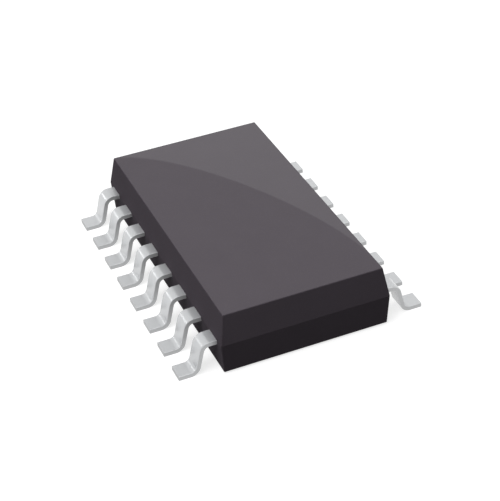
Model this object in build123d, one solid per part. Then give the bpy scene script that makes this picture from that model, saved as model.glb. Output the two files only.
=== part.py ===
from build123d import *
import os
from math import radians, tan

# Transceiver chip in a sixteen-lead small-outline package with gull-wing leads.
# Millimetres and degrees. The origin is the middle of the chip on the plane that its feet stand on.
# +Z points up, the rows of leads run along Y and the leads reach out along X.
# Lead 1 is the one at -X, +Y. The numbers run down that side and back up the other one.

# Moulding
body_width = 5.6
end_margin = 0.355
upper_height = 1.0
lower_height = 1.05
upper_draft = 9.5
lower_draft = 3.5
edge_radius = 0.03
standoff = 0.05
ejector_mark_diameter = 1.2
ejector_mark_depth = 0.04
ejector_mark_from_end = 2.2

# Leads outside the moulding
leads_per_side = 8
lead_pitch = 1.27
lead_width = 0.6
lead_thickness = 0.15
bend_radius = 0.2
shoulder_reach = 0.45
drop_lean = 14.0
foot_length = 0.6

# Leads inside the moulding
wall_cover = 0.25
lock_ear_length = 0.2
lock_ear_width = 0.12
fan_step = 0.32
finger_tip_width = 0.42
finger_gap = 0.3

# Die and the paddle that it sits on
die_width = 1.6
die_length = 3.2
die_thickness = 0.28
attach_margin = 0.05
attach_thickness = 0.03
paddle_margin = 0.25
paddle_downset = 0.2

# Bond wires, eight-sided because there are many and each is thinner than a hair
wire_sides = 8
wire_diameter = 0.03
ball_diameter = 0.09
ball_height = 0.03
loop_height = 0.16
pad_inset = 0.12
pad_end_inset = 0.2
stitch_inset = 0.12

# Heights above the plane that the feet stand on. The strip's upper face lies on the parting plane.
parting_height = standoff + lower_height
strip_bottom = parting_height - lead_thickness
paddle_bottom = strip_bottom - paddle_downset
paddle_top = paddle_bottom + lead_thickness
attach_top = paddle_top + attach_thickness
die_top = attach_top + die_thickness

# Places that follow from the driving dimensions
row_length = (leads_per_side - 1) * lead_pitch
body_length = row_length + lead_width + 2 * end_margin
wall_x = -body_width / 2
finger_start_x = wall_x + wall_cover
fan_start_x = finger_start_x + lock_ear_length
paddle_width = die_width + 2 * paddle_margin
paddle_length = die_length + 2 * paddle_margin
paddle_edge_x = -paddle_width / 2
finger_tip_x = paddle_edge_x - finger_gap
ground_lead = leads_per_side // 2 + 1


def across(part):
    """The same piece on the other side of the chip, half a turn about Z away."""
    return Rot(0, 0, 180) * part


def row_place(number, step):
    """How far along Y lead `number` lies when neighbours are `step` apart."""
    return ((leads_per_side + 1) / 2 - number) * step


def moulding_blank():
    """The epoxy block before anything is taken out of it.

    Both halves of the mould taper away from the parting line, where the block is widest.
    """
    outline = Rectangle(body_width, body_length)
    upper = extrude(outline, upper_height, taper=upper_draft)
    lower = Rot(180, 0, 0) * extrude(outline, lower_height, taper=lower_draft)
    block = Pos(0, 0, parting_height) * (upper + lower)
    faces_by_height = block.faces().sort_by(Axis.Z)
    rims = faces_by_height[0].edges() + faces_by_height[-1].edges()
    corners = block.edges().filter_by(Plane.XY, reverse=True)
    return fillet(rims + corners, edge_radius)


def ejector_marks():
    """The two shallow rounds that the mould's ejector pins leave in the underside."""
    pin = Cylinder(ejector_mark_diameter / 2, 2 * ejector_mark_depth)
    mark_y = body_length / 2 - ejector_mark_from_end
    return [Pos(0, side * mark_y, standoff) * pin for side in (-1, 1)]


def gull_wing():
    """One lead outside the moulding, at y = 0 on the -X side.

    A flat strip goes straight out of the wall, bends down, leans out a little as it drops,
    and bends again into the foot. It starts inside the wall, where the finger takes over.
    """
    middle = lead_thickness / 2
    shoulder_x = wall_x - shoulder_reach
    heel_x = shoulder_x - strip_bottom * tan(radians(drop_lean))
    tip_x = heel_x - foot_length
    path = FilletPolyline(
        (finger_start_x, 0, strip_bottom + middle),
        (shoulder_x, 0, strip_bottom + middle),
        (heel_x, 0, middle),
        (tip_x, 0, middle),
        radius=bend_radius + middle,
    )
    start = Plane(origin=path @ 0, x_dir=(0, 1, 0), z_dir=path % 0)
    return sweep(start * Rectangle(lead_width, lead_thickness), path=path)


def finger(number):
    """The flat part of a lead inside the moulding.

    Two ears lock it in the epoxy just behind the wall. From there it fans in towards the die.
    """
    root_y = row_place(number, lead_pitch)
    tip_y = row_place(number, lead_pitch - fan_step)
    ear = Pos((finger_start_x + fan_start_x) / 2, root_y) * Rectangle(
        lock_ear_length, lead_width + 2 * lock_ear_width
    )
    fan = make_face(
        Polyline(
            (fan_start_x, root_y - lead_width / 2),
            (finger_tip_x, tip_y - finger_tip_width / 2),
            (finger_tip_x, tip_y + finger_tip_width / 2),
            (fan_start_x, root_y + lead_width / 2),
            close=True,
        )
    )
    return Pos(0, 0, strip_bottom) * extrude(ear + fan, lead_thickness)


def lead(number):
    """A whole lead of the -X row: its finger and its gull wing in one piece."""
    return finger(number) + Pos(0, row_place(number, lead_pitch), 0) * gull_wing()


def downset_arm(number):
    """The slanting neck from a finger's tip down to the edge of the paddle."""
    profile = make_face(
        Polyline(
            (finger_tip_x, 0, strip_bottom),
            (paddle_edge_x, 0, paddle_bottom),
            (paddle_edge_x, 0, paddle_top),
            (finger_tip_x, 0, parting_height),
            close=True,
        )
    )
    neck = extrude(profile, finger_tip_width / 2, dir=(0, 1, 0), both=True)
    return Pos(0, row_place(number, lead_pitch - fan_step), 0) * neck


def slab(width, length, bottom, top):
    """A flat block centred over the origin, between two heights."""
    return Pos(0, 0, (bottom + top) / 2) * Box(width, length, top - bottom)


def paddle_with_ground_leads():
    """The die paddle with the one lead of each row that carries it, punched from one sheet."""
    carrier = lead(ground_lead) + downset_arm(ground_lead)
    paddle = slab(paddle_width, paddle_length, paddle_bottom, paddle_top)
    return paddle + carrier + across(carrier)


def bond_wire(number):
    """The wire from a pad on the die to a finger of the -X row.

    It rises from a ball on the pad, and then runs down straight to its stitch on the finger.
    """
    pad_pitch = (die_length - 2 * pad_end_inset) / (leads_per_side - 1)
    pad_x = pad_inset - die_width / 2
    pad_y = row_place(number, pad_pitch)
    root_y = row_place(number, lead_pitch)
    tip_y = row_place(number, lead_pitch - fan_step)
    stitch_share = stitch_inset / (finger_tip_x - fan_start_x)
    stitch_x = finger_tip_x - stitch_inset
    stitch_y = tip_y + (root_y - tip_y) * stitch_share
    neck = Vector(pad_x, pad_y, die_top + ball_height)
    crest = neck + Vector(0, 0, loop_height)
    stitch = Vector(stitch_x, stitch_y, parting_height)
    past_stitch = stitch + (stitch - crest) * (wire_diameter / (crest.Z - parting_height))
    ball = extrude(RegularPolygon(ball_diameter / 2, wire_sides), ball_height)
    path = Polyline(neck, crest, past_stitch)
    section = Plane(origin=neck, z_dir=(0, 0, 1)) * RegularPolygon(wire_diameter / 2, wire_sides)
    run = sweep(section, path=path, transition=Transition.RIGHT)
    above_finger = split(run, bisect_by=Plane.XY.offset(parting_height), keep=Keep.TOP)
    return Pos(pad_x, pad_y, die_top) * ball + above_finger


pieces = {}
row = range(1, leads_per_side + 1)
for number in row:
    opposite = number + leads_per_side
    if number != ground_lead:
        pieces[f"lead_{number:02d}"] = lead(number)
        pieces[f"lead_{opposite:02d}"] = across(lead(number))
    pieces[f"bond_wire_{number:02d}"] = bond_wire(number)
    pieces[f"bond_wire_{opposite:02d}"] = across(bond_wire(number))

pieces["die_paddle_with_ground_leads"] = paddle_with_ground_leads()
pieces["die_attach"] = slab(
    die_width + 2 * attach_margin, die_length + 2 * attach_margin, paddle_top, attach_top
)
pieces["silicon_die"] = slab(die_width, die_length, attach_top, die_top)

# The epoxy flows round everything that it seals in, so each piece leaves its own shape in it.
pieces["moulded_body"] = moulding_blank() - ejector_marks() - list(pieces.values())

os.makedirs("parts", exist_ok=True)
for name, piece in pieces.items():
    piece.label = name
    export_step(piece, f"parts/{name}.step")
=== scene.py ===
"""Dresses the transceiver chip and sets it on a plain white ground, seen as in the picture.

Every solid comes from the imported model, in metres, with its origin in the middle of the chip on the
plane that its feet stand on. This script gives each one its finish, forms the leads and the wires
anew with the rounds that a press and a bonding tool leave, and adds the ground, lamps and camera.
"""

import logging
import math
from dataclasses import dataclass, field
from enum import Enum
from typing import Iterator, Sequence

import bpy
from mathutils import Matrix, Vector


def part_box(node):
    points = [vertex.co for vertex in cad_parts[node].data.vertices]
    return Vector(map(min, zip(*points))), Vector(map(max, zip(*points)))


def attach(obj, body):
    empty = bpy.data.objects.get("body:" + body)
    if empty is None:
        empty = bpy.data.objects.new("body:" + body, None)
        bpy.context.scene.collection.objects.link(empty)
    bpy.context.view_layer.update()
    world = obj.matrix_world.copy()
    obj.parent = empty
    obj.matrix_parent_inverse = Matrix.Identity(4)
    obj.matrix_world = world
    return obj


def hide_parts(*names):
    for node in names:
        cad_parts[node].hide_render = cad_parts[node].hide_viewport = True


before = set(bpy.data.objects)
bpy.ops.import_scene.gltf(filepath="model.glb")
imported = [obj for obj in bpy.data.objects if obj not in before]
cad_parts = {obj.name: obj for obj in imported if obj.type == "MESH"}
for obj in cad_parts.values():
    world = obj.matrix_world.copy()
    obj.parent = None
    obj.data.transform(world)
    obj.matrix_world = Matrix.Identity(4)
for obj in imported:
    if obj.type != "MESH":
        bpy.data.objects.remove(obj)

MM = 0.001
MICRON = 0.001 * MM
BODY = "root"
ALONG_X = Vector((1.0, 0.0, 0.0))
ALONG_Y = Vector((0.0, 1.0, 0.0))
UPWARD = Vector((0.0, 0.0, 1.0))
PICTURE_WIDTH_PX = 500
SENSOR_WIDTH_MM = 36.0

# Points closer together than this are one corner, and edges closer than this lie on one line.
SAME_POINT = 0.01 * MICRON
# A face of the strip whose direction has more than this share of Y was cut by the press.
SIDEWAYS = 0.97
# Each random pattern has this many finer layers, and most of its values lie in this range.
FINER_LAYERS = 3.0
MOST_OF_PATTERN = (0.3, 0.7)
# The mix node has sockets for every kind of value. These are the numbers of its colour sockets.
MIX_LOW = 6
MIX_HIGH = 7
MIX_RESULT = 2

Colour = tuple[float, float, float]
ByAxis = tuple[float, float, float]
Span = tuple[float, float]
Socket = bpy.types.NodeSocket
Feed = float | Colour | Socket
Sources = dict[str | int, Feed]

log = logging.getLogger("transceiver_chip")


class Blend(Enum):
    """The arithmetic steps that the materials and the sky use, by their node names."""

    SUBTRACT = "SUBTRACT"
    MULTIPLY = "MULTIPLY"
    DIVIDE = "DIVIDE"
    SIZE = "ABSOLUTE"
    LARGER = "MAXIMUM"
    BELOW = "LESS_THAN"
    REPEAT = "FRACT"


class Along(Enum):
    """The axes of the chip, by the index of their part of a vector."""

    X = 0
    Y = 1
    Z = 2


class RayKind(Enum):
    """Rays that look at the ground and the sky as they appear, by their Light Path outputs."""

    CAMERA = "Is Camera Ray"
    GLOSSY = "Is Glossy Ray"
    TRANSMISSION = "Is Transmission Ray"


class StripFace(Enum):
    """The two kinds of face on a strip cut by a press, by the material slot that they use."""

    ROLLED = 0
    SHEARED = 1

    @classmethod
    def of(cls, facing: Vector) -> "StripFace":
        """The kind of a face along the strip, which the press has cut if it looks sideways."""
        return cls.SHEARED if abs(facing.normalized().y) > SIDEWAYS else cls.ROLLED


class Graph:
    """The shader nodes of one material or world, added one step at a time."""

    def __init__(self, tree: bpy.types.NodeTree) -> None:
        """Empties the node tree of a material or a world, and keeps it for the steps that follow."""
        tree.nodes.clear()
        self.tree = tree

    def feed(self, node: bpy.types.Node, sources: Sources) -> None:
        """Links the inputs of a node to their sources, or writes constants on them.

        Args:
            node: The node.
            sources: What its inputs get, by their names or numbers.
        """
        for name, source in sources.items():
            socket = node.inputs[name]
            if isinstance(source, bpy.types.NodeSocket):
                self.tree.links.new(source, socket)
            elif isinstance(source, tuple) and socket.type == "RGBA":
                socket.default_value = (*source, 1.0)
            else:
                socket.default_value = source

    def add(self, kind: str, sources: Sources | None = None, **settings: object) -> bpy.types.Node:
        """Adds one node.

        Args:
            kind: The node's type name.
            sources: What its inputs get, by their names or numbers.
            **settings: Properties of the node, by name.

        Returns:
            The new node.
        """
        node = self.tree.nodes.new(kind)
        for name, setting in settings.items():
            setattr(node, name, setting)
        self.feed(node, sources or {})
        return node

    def math(self, step: Blend, first: Feed, second: Feed = 0.0) -> Socket:
        """One step of arithmetic on a number, and on a second one where the step has two."""
        return self.add("ShaderNodeMath", {0: first, 1: second}, operation=step.value).outputs[0]

    def mix(self, share: Feed, low: Feed, high: Feed) -> Socket:
        """A mix of two colours, the first one at a share of 0 and the second one at 1."""
        sources = {"Factor": share, MIX_LOW: low, MIX_HIGH: high}
        return self.add("ShaderNodeMix", sources, data_type="RGBA").outputs[MIX_RESULT]

    def span(self, source: Socket, start: Span, end: Span) -> Socket:
        """Maps a range of numbers to another range, smoothly and without going past its ends.

        Args:
            source: The number to map.
            start: The range that it comes from.
            end: The range that it goes to.

        Returns:
            The mapped number.
        """
        names = ("Value", "From Min", "From Max", "To Min", "To Max")
        sources = dict(zip(names, (source, *start, *end)))
        node = self.add("ShaderNodeMapRange", sources, interpolation_type="SMOOTHSTEP")
        return node.outputs["Result"]

    def place(self) -> Socket:
        """The point on the object, in metres from its origin."""
        return self.add("ShaderNodeTexCoord").outputs["Object"]

    def facing(self) -> Socket:
        """The direction that the surface faces, in the object's own axes."""
        return self.add("ShaderNodeTexCoord").outputs["Normal"]

    def part(self, vector: Socket, axis: Along) -> Socket:
        """The part of a vector along one axis, as a number."""
        return self.add("ShaderNodeSeparateXYZ", {0: vector}).outputs[axis.value]

    def outward(self, axis: Along) -> Socket:
        """How far the point lies from the middle of the chip along an axis."""
        return self.math(Blend.SIZE, self.part(self.place(), axis))

    def noise(self, grain: float, stretch: ByAxis = (1.0, 1.0, 1.0)) -> Socket:
        """Soft random patches.

        Args:
            grain: The size of a patch, in metres.
            stretch: How many times longer a patch is along each axis.

        Returns:
            The pattern, from about 0 to about 1.
        """
        shrink = tuple(1.0 / times for times in stretch)
        place = self.add("ShaderNodeMapping", {"Vector": self.place(), "Scale": shrink}).outputs[0]
        sources = {"Vector": place, "Scale": 1.0 / grain, "Detail": FINER_LAYERS}
        return self.add("ShaderNodeTexNoise", sources).outputs["Fac"]

    def cells(self, grain: float) -> Socket:
        """How far a point lies from the nearest of many specks, as a share of their spacing."""
        sources = {"Vector": self.place(), "Scale": 1.0 / grain}
        return self.add("ShaderNodeTexVoronoi", sources).outputs["Distance"]

    def bump(self, height: Socket, depth: float, under: Socket | None = None) -> Socket:
        """A surface that is slightly raised where a pattern is high.

        Args:
            height: The pattern, from 0 to 1.
            depth: The height of the pattern's top, in metres.
            under: A rougher relief that this one lies on.

        Returns:
            The bent surface direction.
        """
        node = self.add("ShaderNodeBump", {"Height": height, "Distance": depth})
        if under is not None:
            self.feed(node, {"Normal": under})
        return node.outputs["Normal"]

    def seen(self) -> Socket:
        """Which rays look at the ground and the sky as they appear.

        Returns:
            1 for those rays, and 0 for the ones that only gather light.
        """
        rays = self.add("ShaderNodeLightPath")
        total: Feed = 0.0
        for kind in RayKind:
            total = self.math(Blend.LARGER, rays.outputs[kind.value], total)
        return total

    def end(self, surface: Socket, kind: str = "ShaderNodeOutputMaterial") -> None:
        """Links a shader to the output, which is that of a material unless another kind is given."""
        self.add(kind, {"Surface": surface})


def new_material(name: str) -> tuple[bpy.types.Material, Graph]:
    """Makes a material that has no nodes yet.

    Args:
        name: Its name.

    Returns:
        The material, and the graph that its nodes are added to.
    """
    made = bpy.data.materials.new(name)
    made.use_nodes = True
    return made, Graph(made.node_tree)


def grey(level: float) -> Colour:
    """The grey of a level, where 1 is white."""
    return level, level, level


@dataclass(frozen=True)
class Finish:
    """The look of one material. Each kind of finish adds its own pattern.

    Attributes:
        name: The name of the material.
        colour: Its main colour, as linear light.
        roughness: How matt it is, from 0 to 1.
        metallic: 1 for a metal and 0 for anything else.
        specular: How strongly a surface that is no metal reflects, where 0.5 is usual.
    """

    name: str
    colour: Colour
    roughness: float
    metallic: float = 0.0
    specular: float = 0.5

    def material(self) -> bpy.types.Material:
        """Makes the material.

        Returns:
            The material, with its shader and pattern.
        """
        made, graph = new_material(self.name)
        plain = {
            "Base Color": self.colour,
            "Roughness": self.roughness,
            "Metallic": self.metallic,
            "Specular IOR Level": self.specular,
        }
        shader = graph.add("ShaderNodeBsdfPrincipled", plain)
        graph.feed(shader, self.pattern(graph))
        graph.end(shader.outputs["BSDF"])
        return made

    def pattern(self, graph: Graph) -> Sources:
        """What the shader's inputs get over the plain values, which is nothing for a plain finish."""
        return {}

    def tint(self, share: float) -> Colour:
        """The main colour made lighter or darker, where a share of 1 is the colour itself."""
        red, green, blue = (part * share for part in self.colour)
        return red, green, blue

    def drifting(self, graph: Graph, pattern: Socket, change: float) -> Socket:
        """The main colour, darker by a share where a pattern is low and lighter where it is high."""
        return graph.mix(pattern, self.tint(1 - change), self.tint(1 + change))

    def blurring(self, graph: Graph, pattern: Socket, change: float) -> Socket:
        """The roughness, less by an amount where a pattern is low and more where it is high."""
        ends = (self.roughness - change, self.roughness + change)
        return graph.span(pattern, MOST_OF_PATTERN, ends)


@dataclass(frozen=True)
class MouldedEpoxy(Finish):
    """Filled epoxy. The mould's walls are eroded to a fine grain, and its flat ceiling is smoother.

    Attributes:
        clouding: How much the colour drifts over the surface, from 0 to 1.
        cloud_size: The size of that drift.
        filler_size: The distance between the grains of the filler.
        filler_edge: Where a grain starts to fade and where it ends, as shares of that distance.
        filler_tone: How light a grain is, as a share of the epoxy's colour.
        filler_shown: How much of that shows through the epoxy, from 0 to 1.
        pit_size: The size of the pits that the eroded mould leaves.
        pit_depth: The depth of those pits.
        pit_blur: How much the roughness changes from pit to pit.
        ceiling_faces: How far up a face looks where its shine starts and where it is full.
        ceiling_shine: How strongly the smoother top reflects, from 0 to 1.
        ceiling_blur: How blurred that reflection is, from 0 to 1.
    """

    clouding: float = 0.05
    cloud_size: float = 0.9 * MM
    filler_size: float = 0.05 * MM
    filler_edge: Span = (0.1, 0.3)
    filler_tone: float = 2.0
    filler_shown: float = 0.16
    pit_size: float = 0.03 * MM
    pit_depth: float = 0.9 * MICRON
    pit_blur: float = 0.05
    ceiling_faces: Span = (0.9, 0.99)
    ceiling_shine: float = 0.4
    ceiling_blur: float = 0.02

    def pattern(self, graph: Graph) -> Sources:
        """The drift of the colour, the filler, the pits and the shine of the top.

        Args:
            graph: The material's nodes.

        Returns:
            What the shader's inputs get, by their names.
        """
        clouded = self.drifting(graph, graph.noise(self.cloud_size), self.clouding)
        grains = graph.span(graph.cells(self.filler_size), self.filler_edge, (1.0, 0.0))
        shown = graph.math(Blend.MULTIPLY, grains, self.filler_shown)
        pits = graph.noise(self.pit_size)
        upward = graph.part(graph.facing(), Along.Z)
        return {
            "Base Color": graph.mix(shown, clouded, self.tint(self.filler_tone)),
            "Roughness": self.blurring(graph, pits, self.pit_blur),
            "Normal": graph.bump(pits, self.pit_depth),
            "Coat Weight": graph.span(upward, self.ceiling_faces, (0.0, self.ceiling_shine)),
            "Coat Roughness": self.ceiling_blur,
        }


@dataclass(frozen=True)
class LeadStrip(Finish):
    """Copper alloy strip. Outside the moulding it is plated with matt tin, and inside it is bare.

    Attributes:
        bare_copper: The colour of the strip behind the wall.
        spot_silver: The colour of the plated tips that the wires are welded to.
        tin_edge: How far from the middle the tin ends, a little behind the moulding's wall.
        spot_edge: How far from the middle the silver ends.
        rolling: How much the marks of rolling or cutting change the colour.
        mark_size: The width of those marks.
        mark_length: How many times longer than wide they are.
        mark_blur: How much the roughness changes from mark to mark.
        crystal_size: The size of the tin's crystals.
        crystal_depth: Their height, and that of the marks.
        gloss: How much of the tin's surface is bright, from 0 to 1.
        gloss_blur: How blurred the reflections in its bright share are, from 0 to 1.
    """

    bare_copper: Colour = (0.62, 0.33, 0.2)
    spot_silver: Colour = (0.82, 0.81, 0.78)
    tin_edge: float = 2.6 * MM
    spot_edge: float = 1.9 * MM
    rolling: float = 0.04
    mark_size: float = 0.02 * MM
    mark_length: float = 12.0
    mark_blur: float = 0.04
    crystal_size: float = 0.012 * MM
    crystal_depth: float = 0.35 * MICRON
    gloss: float = 0.9
    gloss_blur: float = 0.12

    def pattern(self, graph: Graph) -> Sources:
        """The change of plating along the strip, the marks of rolling and the tin's crystals.

        Args:
            graph: The material's nodes.

        Returns:
            What the shader's inputs get, by their names.
        """
        marks = graph.noise(self.mark_size, (self.mark_length, 1.0, 1.0))
        silvered = graph.math(Blend.BELOW, graph.outward(Along.X), self.spot_edge)
        inner = graph.mix(silvered, self.bare_copper, self.spot_silver)
        scored = graph.bump(marks, self.crystal_depth)
        return {
            "Base Color": self.plated(graph, marks, inner),
            "Roughness": self.blurring(graph, marks, self.mark_blur),
            "Normal": graph.bump(graph.noise(self.crystal_size), self.crystal_depth, scored),
            "Coat Weight": self.gloss,
            "Coat Roughness": self.gloss_blur,
        }

    def plated(self, graph: Graph, marks: Socket, inner: Feed) -> Socket:
        """The colour of marked tin outside the moulding, and an inner colour behind its wall."""
        behind = graph.math(Blend.BELOW, graph.outward(Along.X), self.tin_edge)
        return graph.mix(behind, self.drifting(graph, marks, self.rolling), inner)


@dataclass(frozen=True)
class ShearedStrip(LeadStrip):
    """The cut faces of the strip, scored across its thickness by the press that punched them."""

    def pattern(self, graph: Graph) -> Sources:
        """The marks of the punch and the bare metal behind the wall.

        Args:
            graph: The material's nodes.

        Returns:
            What the shader's inputs get, by their names.
        """
        marks = graph.noise(self.mark_size, (1.0, 1.0, self.mark_length))
        shown = self.plated(graph, marks, self.bare_copper)
        return {"Base Color": shown, "Normal": graph.bump(marks, self.crystal_depth)}


@dataclass(frozen=True)
class SilverAdhesive(Finish):
    """Cured epoxy full of silver flakes.

    Attributes:
        flake_size: The distance between flakes.
        flake_depth: How far they stand out.
        resin: How dark the resin between them is, as a share of the flakes' colour.
    """

    flake_size: float = 0.02 * MM
    flake_depth: float = 1.0 * MICRON
    resin: float = 0.55

    def pattern(self, graph: Graph) -> Sources:
        """The flakes.

        Args:
            graph: The material's nodes.

        Returns:
            What the shader's inputs get, by their names.
        """
        flakes = graph.cells(self.flake_size)
        shown = graph.mix(flakes, self.colour, self.tint(self.resin))
        return {"Base Color": shown, "Normal": graph.bump(flakes, self.flake_depth)}


@dataclass(frozen=True)
class CircuitSilicon(Finish):
    """A sawn die: glassy layers over blocks of circuit on its top, and plain silicon at its sides.

    Attributes:
        block_light: The colour of the lighter blocks.
        trace: The colour of the lines between them.
        pad_metal: The colour of the pads that the wires are welded to.
        block_size: How wide and how long a block of circuit is.
        trace_width: The width of the lines round a block.
        cell_size: How wide and how long one of the cells is that fill the blocks.
        cell_gap: The width of the lines round a cell.
        cell_share: How clearly the cells show over the blocks, from 0 to 1.
        row_shift: How far every other row is shifted, as a share of a block or cell.
        long_blocks: How many times longer the blocks and cells of some rows are.
        long_every: How many rows it is from one of those rows to the next.
        top_faces: How far up a face looks where the circuit starts to show and where it is full.
        pad_from_middle: How far from the middle the rows of pads lie.
        pad_pitch: The distance from pad to pad.
        pad_size: The width of a pad.
        pads_end: Half the length of a row of pads.
    """

    block_light: Colour = (0.2, 0.23, 0.3)
    trace: Colour = (0.38, 0.33, 0.27)
    pad_metal: Colour = (0.75, 0.75, 0.74)
    block_size: Span = (0.46 * MM, 0.31 * MM)
    trace_width: float = 0.01 * MM
    cell_size: Span = (0.05 * MM, 0.024 * MM)
    cell_gap: float = 0.003 * MM
    cell_share: float = 0.4
    row_shift: float = 0.37
    long_blocks: float = 1.7
    long_every: int = 3
    top_faces: Span = (0.5, 0.9)
    pad_from_middle: float = 0.68 * MM
    pad_pitch: float = 0.4 * MM
    pad_size: float = 0.1 * MM
    pads_end: float = 1.45 * MM

    def pattern(self, graph: Graph) -> Sources:
        """The blocks, their cells and the pads on the face that looks up.

        Args:
            graph: The material's nodes.

        Returns:
            What the shader's inputs get, by their names.
        """
        blocks = self.rows(graph, self.block_size, self.trace_width)
        cells = self.rows(graph, self.cell_size, self.cell_gap)
        circuit = graph.mix(self.cell_share, blocks, cells)
        padded = graph.mix(self.pads(graph), circuit, self.pad_metal)
        top = graph.span(graph.part(graph.facing(), Along.Z), self.top_faces, (0.0, 1.0))
        return {"Base Color": graph.mix(top, self.colour, padded)}

    def rows(self, graph: Graph, size: Span, gap: float) -> Socket:
        """Rows of blocks or cells, of uneven lengths and tones.

        Args:
            graph: The material's nodes.
            size: How wide and how long one is.
            gap: The width of the lines between them.

        Returns:
            Their colour.
        """
        sources = {
            "Vector": graph.place(),
            "Color1": self.colour,
            "Color2": self.block_light,
            "Mortar": self.trace,
            "Scale": 1.0,
            "Mortar Size": gap,
            "Brick Width": size[0],
            "Row Height": size[1],
        }
        settings = {
            "offset": self.row_shift,
            "squash": self.long_blocks,
            "squash_frequency": self.long_every,
        }
        return graph.add("ShaderNodeTexBrick", sources, **settings).outputs["Color"]

    def pads(self, graph: Graph) -> Socket:
        """The two rows of pads.

        Args:
            graph: The material's nodes.

        Returns:
            1 on a pad and 0 elsewhere.
        """
        aside = graph.math(Blend.SUBTRACT, graph.outward(Along.X), self.pad_from_middle)
        in_row = graph.math(Blend.BELOW, graph.math(Blend.SIZE, aside), self.pad_size / 2)
        lengthwise = graph.part(graph.place(), Along.Y)
        turns = graph.math(Blend.REPEAT, graph.math(Blend.DIVIDE, lengthwise, self.pad_pitch))
        from_pad = graph.math(Blend.SIZE, graph.math(Blend.SUBTRACT, turns, 0.5))
        on_pad = graph.math(Blend.BELOW, from_pad, self.pad_size / self.pad_pitch / 2)
        within = graph.math(Blend.BELOW, graph.outward(Along.Y), self.pads_end)
        return graph.math(Blend.MULTIPLY, graph.math(Blend.MULTIPLY, in_row, on_pad), within)


@dataclass(frozen=True)
class DrawnGold(Finish):
    """Gold wire, with the faint lines of the die that it was drawn through.

    Attributes:
        line_size: The width of a line.
        line_length: How many times longer than wide it is.
        line_depth: Its depth.
        line_tones: How light the gold is in the lines and between them, as shares of its colour.
    """

    line_size: float = 0.003 * MM
    line_length: float = 20.0
    line_depth: float = 0.2 * MICRON
    line_tones: Span = (0.92, 1.05)

    def pattern(self, graph: Graph) -> Sources:
        """The lines.

        Args:
            graph: The material's nodes.

        Returns:
            What the shader's inputs get, by their names.
        """
        lines = graph.noise(self.line_size, (self.line_length, 1.0, 1.0))
        dark, light = (self.tint(tone) for tone in self.line_tones)
        shown = graph.mix(lines, dark, light)
        return {"Base Color": shown, "Normal": graph.bump(lines, self.line_depth)}


@dataclass(frozen=True)
class Ring:
    """One closed outline across a piece.

    Attributes:
        points: Its points in order, in metres.
        facing: The direction that the surface looks in at each point.
    """

    points: tuple[Vector, ...]
    facing: tuple[Vector, ...]

    def flat_on(self, direction: Vector) -> "Ring":
        """The same outline on a face that looks one way all over, such as a step or an end."""
        return Ring(self.points, (direction,) * len(self.points))

    def across(self) -> "Ring":
        """The same outline on the other side of the chip, half a turn about Z away."""
        return Ring(tuple(map(half_turned, self.points)), tuple(map(half_turned, self.facing)))


@dataclass(frozen=True)
class Band:
    """The surface between two rings.

    Attributes:
        start: The ring where it starts.
        end: The ring where it ends, with as many points.
        cut: Whether a press has cut all of it, as on a step in the width.
    """

    start: Ring
    end: Ring
    cut: bool = False


@dataclass
class Skin:
    """A surface that is laid in bands and closed at its ends.

    Attributes:
        bands: The bands.
        ends: The rings at the ends, each lying on its flat end face.
    """

    bands: list[Band] = field(default_factory=list)
    ends: list[Ring] = field(default_factory=list)

    def run(self, rings: Sequence[Ring]) -> None:
        """Adds the bands from each ring to the next one."""
        self.bands.extend(Band(start, end) for start, end in zip(rings, rings[1:]))

    def step(self, start: Ring, end: Ring, direction: Vector) -> None:
        """Adds the flat face between two outlines in one plane, which looks in one direction."""
        self.bands.append(Band(start.flat_on(direction), end.flat_on(direction), cut=True))

    def across(self) -> "Skin":
        """The same surface on the other side of the chip, half a turn about Z away."""
        turned = [Band(band.start.across(), band.end.across(), band.cut) for band in self.bands]
        return Skin(turned, [ring.across() for ring in self.ends])


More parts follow.
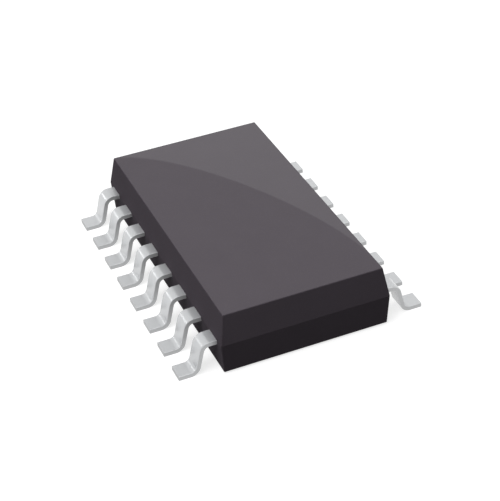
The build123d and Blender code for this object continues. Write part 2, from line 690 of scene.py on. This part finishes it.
class MeshMaker:
    """Turns a surface of bands into one closed object whose faces share their corners."""

    def __init__(self) -> None:
        """Starts with no corner and no face."""
        self.numbers: dict[tuple[int, ...], int] = {}
        self.corners: list[Vector] = []
        self.faces: list[list[int]] = []
        self.facing: list[list[Vector]] = []
        self.kinds: list[StripFace] = []
        self.met_by: dict[tuple[int, int], list[int]] = {}

    def corner(self, point: Vector) -> int:
        """The number of a corner, which all the faces that meet there share.

        Args:
            point: Where it is.

        Returns:
            Its number.
        """
        key = tuple(round(part / SAME_POINT) for part in point)
        if key not in self.numbers:
            self.numbers[key] = len(self.corners)
            self.corners.append(point)
        return self.numbers[key]

    def lay(self, points: Sequence[Vector], facing: Sequence[Vector], kind: StripFace) -> None:
        """Adds one face, wound so that it looks outward.

        Args:
            points: Its corners in order.
            facing: The direction that the surface looks in at each.
            kind: Whether it was rolled or cut.
        """
        wound = (points[1] - points[0]).cross(points[-1] - points[0])
        step = 1 if wound.dot(facing[0]) > 0 else -1
        self.faces.append([self.corner(point) for point in points][::step])
        self.facing.append(list(facing)[::step])
        self.kinds.append(kind)

    def meet(self, edge: Sequence[Vector], other: Sequence[Vector]) -> None:
        """Notes that the shorter of two edges lies on the longer one, for the face along that one.

        Args:
            edge: The two ends of one edge.
            other: The two ends of the other, in the same order.
        """
        short, long = sorted((edge, other), key=lambda ends: (ends[1] - ends[0]).length)
        inner = [self.corner(point) for point in short]
        start, end = (self.corner(point) for point in long)
        self.met_by[start, end] = inner
        self.met_by[end, start] = inner[::-1]

    def share(self) -> None:
        """Gives each face the corners of its neighbours that lie on its edges."""
        for numbers, facing in zip(self.faces, self.facing):
            # Going back from the last place leaves the places still to come where they are.
            for place in reversed(range(len(numbers))):
                edge = numbers[place], numbers[(place + 1) % len(numbers)]
                inner = self.met_by.get(edge, [])
                numbers[place + 1 : place + 1] = inner
                facing[place + 1 : place + 1] = [facing[place]] * len(inner)

    def cover(self, band: Band) -> None:
        """Lays one band as a row of four-cornered faces, except where its two edges lie on one line.

        Args:
            band: The band.
        """
        start, end = band.start, band.end
        for here in range(len(start.points)):
            ahead = (here + 1) % len(start.points)
            edge = start.points[here], start.points[ahead]
            other = end.points[here], end.points[ahead]
            height = (edge[1] - edge[0]).normalized().cross(other[0] - edge[0]).length
            if height < SAME_POINT:
                self.meet(edge, other)
                continue
            facing = (start.facing[here], start.facing[ahead], end.facing[ahead], end.facing[here])
            side = StripFace.of(start.facing[here] + start.facing[ahead])
            self.lay((*edge, *other[::-1]), facing, StripFace.SHEARED if band.cut else side)

    def build(
        self, name: str, skin: Skin, materials: Sequence[bpy.types.Material]
    ) -> bpy.types.Object:
        """Makes the object and sets it on the chip.

        Args:
            name: The name of the object.
            skin: Its surface.
            materials: The finish of rolled faces, and that of cut ones if they have their own.

        Returns:
            The object.
        """
        for band in skin.bands:
            self.cover(band)
        for ring in skin.ends:
            self.lay(ring.points, ring.facing, StripFace.SHEARED)
        self.share()
        mesh = bpy.data.meshes.new(name)
        mesh.from_pydata([tuple(corner) for corner in self.corners], [], self.faces)
        for material in materials:
            mesh.materials.append(material)
        for face, kind in zip(mesh.polygons, self.kinds):
            face.use_smooth = True
            face.material_index = min(kind.value, len(materials) - 1)
        mesh.normals_split_custom_set([tuple(way) for facing in self.facing for way in facing])
        made = linked(name, mesh)
        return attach(made, BODY)


def linked(name: str, data: bpy.types.ID) -> bpy.types.Object:
    """Makes an object and links it to the scene.

    Args:
        name: Its name.
        data: Its mesh, camera or lamp.

    Returns:
        The object.
    """
    made = bpy.data.objects.new(name, data)
    bpy.context.scene.collection.objects.link(made)
    return made


def half_turned(point: Vector) -> Vector:
    """A point or a direction after half a turn about Z."""
    return Vector((-point.x, -point.y, point.z))


def bent_path(
    corners: Sequence[Vector], radii: Sequence[float], steps: int
) -> list[tuple[Vector, Vector]]:
    """A line of straight runs joined by round bends.

    Args:
        corners: Where the straight runs would meet, from end to end.
        radii: The radius of the bend at each inner corner.
        steps: How many steps a bend has.

    Returns:
        The points along the line, each with the direction of the line there.
    """
    way = (corners[1] - corners[0]).normalized()
    line = [(corners[0], way)]
    for corner, after, radius in zip(corners[1:], corners[2:], radii):
        way_out = (after - corner).normalized()
        turn = way.angle(way_out)
        axis = way.cross(way_out).normalized()
        centre = corner - way * radius * math.tan(turn / 2) + axis.cross(way) * radius
        for step in range(steps + 1):
            here = Matrix.Rotation(turn * step / steps, 3, axis) @ way
            line.append((centre - axis.cross(here) * radius, here))
        way = way_out
    return [*line, (corners[-1], way)]


@dataclass(frozen=True)
class StripForm:
    """The strip as the press cuts and bends it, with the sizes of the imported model.

    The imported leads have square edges. These have the round that a punch pulls over the edges of
    the upper face, and the slight one that plating leaves on those of the lower face.

    Attributes:
        leads_per_side: How many leads a row has.
        pitch: The distance from lead to lead.
        width: The width of a lead.
        thickness: The thickness of the strip.
        bend_radius: The inner radius of a bend.
        shoulder_reach: How far out of the wall the corner of the first bend lies.
        drop_lean: How far the drop leans outward, in degrees from upright.
        foot_length: The length of the foot from the corner of the second bend.
        wall_cover: How deep in the wall the locking ears start.
        ear_length: The length of an ear.
        ear_width: How far an ear stands out.
        fan_step: How much closer together the finger tips are than the leads.
        tip_width: The width of a finger's tip.
        paddle_rim: How far the paddle reaches past the adhesive on it.
        ground_lead: The number of the lead that carries the paddle in the row at -X.
        roll_over: The round on the upper edges.
        burr_round: The round on the lower edges.
        edge_steps: How many facets a rounded edge has.
        bend_steps: How many steps a bend has.
    """

    leads_per_side: int = 8
    pitch: float = 1.27 * MM
    width: float = 0.6 * MM
    thickness: float = 0.15 * MM
    bend_radius: float = 0.2 * MM
    shoulder_reach: float = 0.45 * MM
    drop_lean: float = 14.0
    foot_length: float = 0.6 * MM
    wall_cover: float = 0.25 * MM
    ear_length: float = 0.2 * MM
    ear_width: float = 0.12 * MM
    fan_step: float = 0.32 * MM
    tip_width: float = 0.42 * MM
    paddle_rim: float = 0.2 * MM
    ground_lead: int = 5
    roll_over: float = 0.018 * MM
    burr_round: float = 0.008 * MM
    edge_steps: int = 3
    bend_steps: int = 12

    def row_place(self, number: int, step: float) -> float:
        """How far along Y a lead lies from the middle, where neighbours are a step apart."""
        return ((self.leads_per_side + 1) / 2 - number) * step

    def level(self) -> float:
        """The height of the middle of the strip where it leaves the moulding."""
        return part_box("lead_01")[1].z - self.thickness / 2

    def tip(self, number: int) -> Vector:
        """The middle of the end of a finger in the row at -X, in metres."""
        row_y = self.row_place(number, self.pitch - self.fan_step)
        return Vector((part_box("lead_01")[1].x, row_y, self.level()))

    def ring(
        self, middle: Vector, half_width: float, up: Vector, slope: Vector | None = None
    ) -> Ring:
        """The outline of the strip at one place: flat faces with rounded edges.

        Args:
            middle: The middle of the outline.
            half_width: Half its width.
            up: The direction across its thickness.
            slope: The way that its upper face looks, where the outline is cut aslant.

        Returns:
            The outline.
        """
        outward = up if slope is None else slope
        points, facing = [], []
        upper, lower = self.roll_over, self.burr_round
        quarters = ((1, 1, upper), (-1, 1, upper), (-1, -1, lower), (1, -1, lower))
        for quarter, (side, lift, radius) in enumerate(quarters):
            sideways = ALONG_Y * side * (half_width - radius)
            centre = middle + sideways + up * lift * (self.thickness / 2 - radius)
            for step in range(self.edge_steps + 1):
                angle = (quarter + step / self.edge_steps) * math.pi / 2
                points.append(centre + (ALONG_Y * math.cos(angle) + up * math.sin(angle)) * radius)
                facing.append((ALONG_Y * math.cos(angle) + outward * math.sin(angle)).normalized())
        return Ring(tuple(points), tuple(facing))

    def gull_wing(self, number: int) -> list[Ring]:
        """The outlines of a lead in the row at -X, from its toe to the ears behind the wall.

        Args:
            number: The number of the lead.

        Returns:
            The outlines in order.
        """
        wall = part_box("moulded_body")[0].x
        row_y = self.row_place(number, self.pitch)
        foot, level = self.thickness / 2, self.level()
        shoulder = wall - self.shoulder_reach
        heel = shoulder - (level - foot) * math.tan(math.radians(self.drop_lean))
        corners = [
            Vector((heel - self.foot_length, row_y, foot)),
            Vector((heel, row_y, foot)),
            Vector((shoulder, row_y, level)),
            Vector((wall + self.wall_cover, row_y, level)),
        ]
        radius = self.bend_radius + self.thickness / 2
        line = bent_path(corners, (radius, radius), self.bend_steps)
        return [self.ring(point, self.width / 2, way.cross(ALONG_Y)) for point, way in line]

    def finger(self, skin: Skin, root: Ring, number: int) -> Ring:
        """Adds the flat part of a lead behind the wall: two ears, and the fan towards the die.

        Args:
            skin: The surface that it is added to.
            root: The outline where it starts.
            number: The number of the lead.

        Returns:
            The outline of its tip.
        """
        ear_start = Vector((root.points[0].x, self.row_place(number, self.pitch), self.level()))
        ear_end = ear_start + ALONG_X * self.ear_length
        half_width = self.width / 2 + self.ear_width
        ears = [self.ring(place, half_width, UPWARD) for place in (ear_start, ear_end)]
        fan = self.ring(ear_end, self.width / 2, UPWARD)
        tip = self.ring(self.tip(number), self.tip_width / 2, UPWARD)
        skin.step(root, ears[0], -ALONG_X)
        skin.run(ears)
        skin.step(ears[1], fan, ALONG_X)
        skin.run([fan, tip])
        return tip

    def lead(self, number: int) -> Skin:
        """A whole lead of the row at -X. The one that carries the paddle is open at its finger's tip.

        Args:
            number: The number of the lead.

        Returns:
            Its surface.
        """
        wing = self.gull_wing(number)
        skin = Skin(ends=[wing[0].flat_on(-ALONG_X)])
        skin.run(wing)
        tip = self.finger(skin, wing[-1], number)
        if number != self.ground_lead:
            skin.ends.append(tip.flat_on(ALONG_X))
        return skin

    def paddle(self) -> Skin:
        """The paddle, its two sloping arms and the two leads that carry it, as one surface.

        Returns:
            That surface.
        """
        low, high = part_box("die_attach")
        half_length = high.y + self.paddle_rim
        edge = Vector((low.x - self.paddle_rim, 0.0, low.z - self.thickness / 2))
        tip = self.tip(self.ground_lead)
        arm_end = Vector((edge.x, tip.y, edge.z))
        slope = (arm_end - tip).cross(ALONG_Y).normalized()
        arm = [self.ring(place, self.tip_width / 2, UPWARD, slope) for place in (tip, arm_end)]
        plate = self.ring(edge, half_length, UPWARD)
        far_plate = self.ring(Vector((-edge.x, 0.0, edge.z)), half_length, UPWARD)

        half = self.lead(self.ground_lead)
        half.run(arm)
        half.step(arm[1], plate, -ALONG_X)
        whole = half.across()
        whole.bands.extend(half.bands)
        whole.ends.extend(half.ends)
        whole.run([plate, far_plate])
        return whole


@dataclass(frozen=True)
class WireForm:
    """A wire as the bonding tool leaves it: a squashed ball, a loop and a flattened stitch.

    Attributes:
        strip: The form of the leads that the wires end on.
        radius: The radius of the wire.
        sides: How many facets lie round it.
        ball_radius: The radius of the squashed ball.
        ball_height: Its height.
        ball_steps: How many steps its side has.
        ball_waist: How much narrower than its middle the ball is at its foot and top, from 0 to 1.
        ball_tilt: How much its side looks down at its foot and up at its top.
        loop_height: How far the wire rises over the ball.
        crest_radius: The radius of the bend at the top of the loop.
        touch_radius: The radius of the bend where the wire comes down on the finger.
        bend_steps: How many steps a bend has.
        pad_inset: How far the middle of a pad lies inside the die's long edge.
        pad_end_inset: How far the last pad lies from the die's end.
        stitch_inset: How far behind the finger's tip the wire touches down.
        stitch_length: The length of the flattened part.
        stitch_half_width: Half its width at its end.
        stitch_half_height: Half its thickness there.
    """

    strip: StripForm = StripForm()
    radius: float = 0.015 * MM
    sides: int = 12
    ball_radius: float = 0.045 * MM
    ball_height: float = 0.03 * MM
    ball_steps: int = 6
    ball_waist: float = 0.2
    ball_tilt: float = 0.4
    loop_height: float = 0.16 * MM
    crest_radius: float = 0.05 * MM
    touch_radius: float = 0.1 * MM
    bend_steps: int = 8
    pad_inset: float = 0.12 * MM
    pad_end_inset: float = 0.2 * MM
    stitch_inset: float = 0.12 * MM
    stitch_length: float = 0.05 * MM
    stitch_half_width: float = 0.026 * MM
    stitch_half_height: float = 0.004 * MM

    def pad(self, number: int) -> Vector:
        """The middle of a pad in the row at -X.

        Args:
            number: The number of the lead that it is joined to.

        Returns:
            The point, in metres.
        """
        low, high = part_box("silicon_die")
        step = (high.y - low.y - 2 * self.pad_end_inset) / (self.strip.leads_per_side - 1)
        return Vector((low.x + self.pad_inset, self.strip.row_place(number, step), high.z))

    def stitch(self, number: int) -> Vector:
        """Where the wire touches down on its finger.

        Args:
            number: The number of the lead.

        Returns:
            The point, in metres.
        """
        strip = self.strip
        tip = strip.tip(number)
        root_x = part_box("moulded_body")[0].x + strip.wall_cover + strip.ear_length
        share = self.stitch_inset / (tip.x - root_x)
        along = tip.y + (strip.row_place(number, strip.pitch) - tip.y) * share
        return Vector((tip.x - self.stitch_inset, along, tip.z + strip.thickness / 2))

    def ring(
        self, middle: Vector, side: Vector, lift: Vector, half_width: float, half_height: float
    ) -> Ring:
        """The outline of the wire at one place, an ellipse.

        Args:
            middle: The middle of the outline.
            side: The direction of its width.
            lift: The direction of its height.
            half_width: Half its width.
            half_height: Half its height.

        Returns:
            The outline.
        """
        points, facing = [], []
        for step in range(self.sides):
            angle = math.tau * step / self.sides
            across, up = math.cos(angle), math.sin(angle)
            points.append(middle + side * half_width * across + lift * half_height * up)
            facing.append((side * half_height * across + lift * half_width * up).normalized())
        return Ring(tuple(points), tuple(facing))

    def ball(self, pad: Vector, side: Vector, lift: Vector) -> list[Ring]:
        """The outlines of the squashed ball, from the pad up to the neck of the wire.

        Args:
            pad: Where it sits.
            side: A level direction.
            lift: The level direction square to it.

        Returns:
            The outlines in order.
        """
        rings = []
        narrowing = 1 - (1 - self.ball_waist) ** 2
        for step in range(self.ball_steps + 1):
            share = 2 * step / self.ball_steps - 1
            radius = self.ball_radius * math.sqrt(1 - narrowing * share**2)
            height = UPWARD * self.ball_height * step / self.ball_steps
            upright = self.ring(pad + height, side, lift, radius, radius)
            tilt = UPWARD * share * self.ball_tilt
            facing = tuple((way + tilt).normalized() for way in upright.facing)
            rings.append(Ring(upright.points, facing))
        return rings

    def wire(self, number: int) -> Skin:
        """One whole wire of the row at -X.

        Args:
            number: The number of the lead that it is joined to.

        Returns:
            Its surface.
        """
        pad, stitch = self.pad(number), self.stitch(number)
        run = Vector((stitch.x - pad.x, stitch.y - pad.y, 0.0)).normalized()
        side = UPWARD.cross(run)
        neck = pad + UPWARD * self.ball_height
        corners = [
            neck,
            neck + UPWARD * self.loop_height,
            stitch + UPWARD * self.radius,
            stitch + run * self.stitch_length + UPWARD * self.stitch_half_height,
        ]
        line = bent_path(corners, (self.crest_radius, self.touch_radius), self.bend_steps)
        tail_point, tail_way = line.pop()
        round_part = [
            self.ring(point, side, way.cross(side), self.radius, self.radius) for point, way in line
        ]
        tail = self.ring(
            tail_point, side, tail_way.cross(side), self.stitch_half_width, self.stitch_half_height
        )
        ball = self.ball(pad, side, UPWARD.cross(side))
        skin = Skin(ends=[ball[0].flat_on(-UPWARD), tail.flat_on(run)])
        skin.run(ball)
        skin.step(ball[-1], round_part[0], UPWARD)
        skin.run([*round_part, tail])
        return skin


@dataclass
class Assembly:
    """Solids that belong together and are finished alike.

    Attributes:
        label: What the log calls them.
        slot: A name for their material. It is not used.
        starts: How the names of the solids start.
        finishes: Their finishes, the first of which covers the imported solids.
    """

    label: str
    slot: str
    starts: tuple[str, ...]
    finishes: tuple[Finish, ...]

    def dress(self) -> None:
        """Finishes each solid, and puts the formed pieces in the place of those that have them."""
        materials = [finish.material() for finish in self.finishes]
        for name, node in sorted(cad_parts.items()):
            if name.startswith(self.starts):
                self.coat(node, materials)
        for name, skin in self.skins().items():
            self.put(name, skin, materials)

    def skins(self) -> dict[str, Skin]:
        """The surfaces formed anew, by the names of their solids. Most assemblies have none."""
        return {}

    def coat(self, node: bpy.types.Object, materials: Sequence[bpy.types.Material]) -> None:
        """Gives one solid its materials, the first of which covers it.

        Args:
            node: The solid.
            materials: The materials.
        """
        node.data.materials.clear()
        for material in materials:
            node.data.materials.append(material)
        log.info("%s: %s, %d faces", self.label, node.name, len(node.data.polygons))

    def put(self, name: str, skin: Skin, materials: Sequence[bpy.types.Material]) -> None:
        """Puts a formed piece in the place of the solid that it has the shape of.

        Args:
            name: The name of the solid.
            skin: The surface of the piece.
            materials: Its materials.
        """
        made = MeshMaker().build(f"formed_{name}", skin, materials)
        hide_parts(name)
        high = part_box(name)[1]
        reach = [max(part) for part in zip(*(vertex.co for vertex in made.data.vertices))]
        off = max(abs(part - whole) for part, whole in zip(reach, high)) / MICRON
        log.info("%s: formed %s, upper corner %.1f microns off", self.label, name, off)


def both_rows(name: str, number: int, per_side: int, skin: Skin) -> dict[str, Skin]:
    """A piece's surface in the row at -X and in the other row, by the names of their solids."""
    return {f"{name}_{number:02d}": skin, f"{name}_{number + per_side:02d}": skin.across()}


@dataclass
class Moulding(Assembly):
    """The epoxy block that seals the circuit in."""

    label: str = "moulding"
    slot: str = "moulding_compound"
    starts: tuple[str, ...] = ("moulded_body",)
    finishes: tuple[Finish, ...] = (
        MouldedEpoxy("moulded_epoxy", (0.078, 0.0665, 0.079), roughness=0.8, specular=0.045),
    )


@dataclass
class LeadFrame(Assembly):
    """The leads, and the paddle with the two leads that carry it, all punched from one strip.

    The first finish is that of the strip's two broad faces, the second that of the cut ones, whose
    darker grey is partly duller cut metal and partly painted shade on the faces that look sideways.

    Attributes:
        form: The shape of the strip.
    """

    label: str = "lead frame"
    slot: str = "tinned_copper"
    starts: tuple[str, ...] = ("lead_", "die_paddle")
    finishes: tuple[Finish, ...] = (
        LeadStrip("rolled_tin", (0.56, 0.57, 0.58), roughness=0.5, metallic=1.0),
        # The cut faces' grey is darker than the rolled tin: partly duller cut metal, partly painted
        # shade for faces that look sideways.
        ShearedStrip("sheared_tin_painted_shade", (0.43, 0.435, 0.44), roughness=0.5, metallic=1.0),
    )
    form: StripForm = StripForm()

    def skins(self) -> dict[str, Skin]:
        """Forms every lead and the paddle.

        Returns:
            Their surfaces, by the names of their solids.
        """
        formed: dict[str, Skin] = {}
        per_side = self.form.leads_per_side
        for number in range(1, per_side + 1):
            if number != self.form.ground_lead:
                formed |= both_rows("lead", number, per_side, self.form.lead(number))
        return formed | {"die_paddle_with_ground_leads": self.form.paddle()}


@dataclass
class BondWires(Assembly):
    """The wires from the die to the leads.

    Attributes:
        form: The shape of a wire.
    """

    label: str = "bond wires"
    slot: str = "bond_wire_gold"
    starts: tuple[str, ...] = ("bond_wire_",)
    finishes: tuple[Finish, ...] = (
        DrawnGold("drawn_gold", (0.9, 0.64, 0.24), roughness=0.22, metallic=1.0),
    )
    form: WireForm = WireForm()

    def skins(self) -> dict[str, Skin]:
        """Forms every wire.

        Returns:
            Their surfaces, by the names of their solids.
        """
        formed: dict[str, Skin] = {}
        per_side = self.form.strip.leads_per_side
        for number in range(1, per_side + 1):
            formed |= both_rows("bond_wire", number, per_side, self.form.wire(number))
        return formed


@dataclass
class Die(Assembly):
    """The circuit itself."""

    label: str = "die"
    slot: str = "silicon"
    starts: tuple[str, ...] = ("silicon_die",)
    finishes: tuple[Finish, ...] = (
        CircuitSilicon("circuit_silicon", (0.11, 0.12, 0.16), roughness=0.14),
    )


@dataclass
class DieAttach(Assembly):
    """The adhesive between the die and its paddle."""

    label: str = "die attach"
    slot: str = "die_attach_adhesive"
    starts: tuple[str, ...] = ("die_attach",)
    finishes: tuple[Finish, ...] = (
        SilverAdhesive("silver_adhesive", (0.62, 0.62, 0.6), roughness=0.55, metallic=0.5),
    )


def toward(azimuth: float, elevation: float) -> Vector:
    """The direction from the chip to a camera or a lamp that looks at it.

    Args:
        azimuth: The side that it looks from, in degrees, where 0 looks along +Y.
        elevation: Its height above the horizon, in degrees.

    Returns:
        The direction.
    """
    side, height = math.radians(azimuth), math.radians(elevation)
    level = math.cos(height)
    return Vector((math.sin(side) * level, -math.cos(side) * level, math.sin(height)))


def stand(data: bpy.types.ID, place: Vector, right: Vector, back: Vector) -> bpy.types.Object:
    """Stands a camera or a lamp in its place.

    Args:
        data: The camera or the lamp.
        place: Where it stands, in metres.
        right: The direction that lies on its right.
        back: The direction that lies behind it.

    Returns:
        The object, which has the name of its data.
    """
    made = linked(data.name, data)
    axes = Matrix((right, back.cross(right), back)).transposed()
    made.matrix_world = Matrix.Translation(place) @ axes.to_4x4()
    return made


@dataclass
class PictureCamera:
    """The camera, placed by the directions in which the picture shows the chip.

    Attributes:
        azimuth: The side that it looks from, in degrees, where 0 looks along +Y.
        elevation: Its height above the horizon, in degrees.
        roll: How far it leans to one side, in degrees.
        distance: How far it stands from the point that it looks at.
        aim: That point, in millimetres.
        focal_px: Its focal length, in pixels of the picture.
        nearest: The nearest thing that it shows.
        farthest: The farthest thing that it shows.
    """

    azimuth: float = -21.22
    elevation: float = 35.12
    roll: float = -3.32
    distance: float = 48.86 * MM
    aim: ByAxis = (0.133, -0.346, 0.659)
    focal_px: float = 1493.9
    nearest: float = 1.0 * MM
    farthest: float = 4.0

    def place(self) -> Vector:
        """Where the camera stands, in metres."""
        return Vector(self.aim) * MM + toward(self.azimuth, self.elevation) * self.distance

    def build(self) -> None:
        """Makes the camera and hands it to the scene."""
        data = bpy.data.cameras.new("picture_camera")
        data.sensor_fit = "HORIZONTAL"
        data.sensor_width = SENSOR_WIDTH_MM
        data.lens = self.focal_px * SENSOR_WIDTH_MM / PICTURE_WIDTH_PX
        data.clip_start, data.clip_end = self.nearest, self.farthest
        back = toward(self.azimuth, self.elevation)
        lean = Matrix.Rotation(math.radians(self.roll), 3, back)
        right = lean @ UPWARD.cross(back).normalized()
        bpy.context.scene.camera = stand(data, self.place(), right, back)
        log.info("camera: %.0f mm lens", data.lens)


def flat_mesh(
    name: str, corners: Sequence[Vector], material: bpy.types.Material
) -> bpy.types.Object:
    """Makes one flat face that is no part of the chip.

    Args:
        name: The name of the new object.
        corners: Its corners in order, in metres.
        material: What it is made of.

    Returns:
        The object, linked to the scene.
    """
    mesh = bpy.data.meshes.new(name)
    mesh.from_pydata([tuple(corner) for corner in corners], [], [range(len(corners))])
    mesh.materials.append(material)
    made = linked(name, mesh)
    return made


@dataclass
class Ground:
    """The white ground. It shows as white, keeps the chip's shadow and lights the chip only a little.

    Attributes:
        half_width: Half the width of the sheet.
        drop: How far under the feet it lies.
        shadow_share: How much of its brightness comes from the lamps, and so falls away in a shadow.
        glow: What is added to reach white where no shadow falls.
        bounce: How much of the light that falls on it goes back to the chip.
        fade: How far from the chip it starts to turn even white, and where it is so.
    """

    half_width: float = 600.0 * MM
    drop: float = 4.0 * MICRON
    shadow_share: float = 0.4
    glow: float = 0.74
    bounce: float = 0.02
    fade: Span = (14.0 * MM, 40.0 * MM)

    def build(self) -> None:
        """Lays the ground under the chip."""
        signs = ((-1, -1), (1, -1), (1, 1), (-1, 1))
        corners = [Vector((x * self.half_width, y * self.half_width, -self.drop)) for x, y in signs]
        flat_mesh("ground", corners, self.material())
        log.info("ground: %.1f m wide", 2 * self.half_width)

    def material(self) -> bpy.types.Material:
        """Makes the ground's material.

        Returns:
            A matt sheet that looks white, and is dark for the light that bounces off it.
        """
        made, graph = new_material("white_ground")
        seen = graph.seen()
        away = graph.add("ShaderNodeVectorMath", {0: graph.place()}, operation="LENGTH")
        near = graph.span(away.outputs["Value"], self.fade, (1.0, 0.0))
        shown = graph.mix(near, grey(0.0), grey(self.shadow_share))
        matt = graph.mix(seen, grey(self.bounce), shown)
        glow = graph.mix(near, grey(1.0), grey(self.glow))
        sheet = graph.add("ShaderNodeBsdfDiffuse", {"Color": matt})
        light = graph.add("ShaderNodeEmission", {"Color": glow, "Strength": seen})
        both = graph.add("ShaderNodeAddShader", {0: sheet.outputs[0], 1: light.outputs[0]})
        graph.end(both.outputs[0])
        return made


@dataclass
class Sky:
    """The even light from all round.

    Attributes:
        shown: How bright it looks, where 1 is white.
        cast: How much it lights the chip.
    """

    shown: float = 1.0
    cast: float = 0.18

    def build(self) -> None:
        """Makes the world."""
        world = bpy.data.worlds.new("white_studio")
        bpy.context.scene.world = world
        world.use_nodes = True
        graph = Graph(world.node_tree)
        level = graph.mix(graph.seen(), grey(self.cast), grey(self.shown))
        sky = graph.add("ShaderNodeBackground", {"Color": level})
        graph.end(sky.outputs[0], "ShaderNodeOutputWorld")
        log.info("sky: lights at %.2f", self.cast)


@dataclass
class Lamp:
    """A soft lamp that looks at the chip, turned so that its long sides run with the rows of leads.

    Attributes:
        name: The name of the lamp.
        azimuth: The side that it shines from, in degrees, where 0 shines along +Y.
        elevation: Its height above the horizon, in degrees.
        level: How bright a white surface that faces it becomes, where 1 is white.
        distance: How far away it stands.
        width: The width of its face.
        length: The length of its face.
        mirrored: Whether shiny surfaces show it, or it only lights the matt ones.
    """

    name: str
    azimuth: float
    elevation: float
    level: float
    distance: float = 80.0 * MM
    width: float = 50.0 * MM
    length: float = 50.0 * MM
    mirrored: bool = True

    def build(self) -> None:
        """Makes the lamp."""
        data = bpy.data.lights.new(self.name, "AREA")
        data.shape = "RECTANGLE"
        data.size, data.size_y = self.width, self.length
        data.energy = self.level * (math.pi * self.distance) ** 2
        back = toward(self.azimuth, self.elevation)
        lamp = stand(data, back * self.distance, ALONG_Y.cross(back).normalized(), back)
        lamp.visible_glossy = self.mirrored
        log.info("lamp: %s at level %.2f", self.name, self.level)


@dataclass
class SheenCard:
    """A lit card above the chip, seen only as the reflection with the curved edge on its top.

    The edge runs from one corner of the top to the opposite one, bulging away from the middle. The
    card has the shape that the smooth top shows to the camera as that curve.

    Attributes:
        height: How high above the top it hangs.
        pulls: The two points that pull the curve off the straight line between the corners. Each is
            a share of the way along the line, and how far off it the point lies.
        brightness: How bright the card is, where the sky is 1.
        points: How many points draw the curve.
    """

    height: float = 12.0 * MM
    pulls: tuple[Span, Span] = ((0.131, 1.69 * MM), (0.773, 1.65 * MM))
    brightness: float = 2.0
    points: int = 48

    def build(self, camera: PictureCamera) -> None:
        """Makes the card.

        Args:
            camera: The camera that sees its reflection.
        """
        curve = self.curve(self.top_corner(-1, 1), self.top_corner(1, -1))
        outline = [*curve, self.top_corner(1, 1)]
        mirrored = [self.reflect(point, camera.place()) for point in outline]
        card = flat_mesh("sheen_card", mirrored, self.material())
        card.visible_camera = False
        card.visible_diffuse = False
        card.visible_shadow = False
        log.info("sheen card: %.1f mm above the top", self.height / MM)

    def top_corner(self, side: int, end: int) -> Vector:
        """One corner of the block's flat top.

        Args:
            side: -1 or 1, for the side along X.
            end: -1 or 1, for the end along Y.

        Returns:
            The corner, in metres.
        """
        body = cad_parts["moulded_body"].data
        top = max(vertex.co.z for vertex in body.vertices)
        rim = [vertex.co for vertex in body.vertices if top - vertex.co.z < MICRON]
        return max(rim, key=lambda point: side * point.x + end * point.y).copy()

    def curve(self, start: Vector, end: Vector) -> Iterator[Vector]:
        """The points of the curve from one corner to the other.

        Args:
            start: The corner where it starts.
            end: The corner where it ends.

        Yields:
            The points, in metres.
        """
        line = end - start
        outward = Vector((-line.y, line.x, 0.0)).normalized()
        near, far = (start + line * share + outward * off for share, off in self.pulls)
        for step in range(self.points + 1):
            gone = step / self.points
            left = 1 - gone
            yield (
                start * left**3
                + near * (3 * left**2 * gone)
                + far * (3 * left * gone**2)
                + end * gone**3
            )

    def reflect(self, point: Vector, eye: Vector) -> Vector:
        """Where the camera's sight line meets the card after the top has reflected it.

        Args:
            point: The point on the top.
            eye: Where the camera stands.

        Returns:
            The point on the card.
        """
        sight = point - eye
        bounced = Vector((sight.x, sight.y, -sight.z))
        return point + bounced * (self.height / bounced.z)

    def material(self) -> bpy.types.Material:
        """Makes the card's even glow.

        Returns:
            The material.
        """
        made, graph = new_material("lit_card")
        light = graph.add("ShaderNodeEmission", {"Strength": self.brightness})
        graph.end(light.outputs[0])
        return made


@dataclass
class Studio:
    """Everything round the chip.

    Attributes:
        camera: The camera.
        ground: The ground under the chip.
        sky: The light from all round.
        card: The card that the top reflects.
        lamps: The lamps.
    """

    camera: PictureCamera = field(default_factory=PictureCamera)
    ground: Ground = field(default_factory=Ground)
    sky: Sky = field(default_factory=Sky)
    card: SheenCard = field(default_factory=SheenCard)
    lamps: tuple[Lamp, ...] = (
        Lamp("front_left_lamp", azimuth=-59.0, elevation=65.0, level=0.68, mirrored=False),
        Lamp(
            "overhead_panel",
            azimuth=0.0,
            elevation=89.0,
            level=0.22,
            width=56.0 * MM,
            length=56.0 * MM,
        ),
        Lamp(
            "rear_left_strip",
            azimuth=-143.0,
            elevation=17.0,
            level=0.045,
            distance=60.0 * MM,
            width=4.0 * MM,
            length=20.0 * MM,
        ),
        Lamp("rear_right_lamp", azimuth=140.0, elevation=22.0, level=0.22, mirrored=False),
    )

    def build(self) -> None:
        """Sets up the camera, the ground, the sky, the lamps and the card."""
        self.camera.build()
        self.ground.build()
        self.sky.build()
        for lamp in self.lamps:
            lamp.build()
        self.card.build(self.camera)
        bpy.context.scene.view_settings.view_transform = "Standard"


def main() -> None:
    """Dresses the chip from the outside in, and sets up the studio."""
    logging.basicConfig(level=logging.INFO, format="%(message)s")
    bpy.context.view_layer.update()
    for assembly in (Moulding(), LeadFrame(), DieAttach(), Die(), BondWires()):
        assembly.dress()
    Studio().build()


if __name__ == "__main__":
    main()
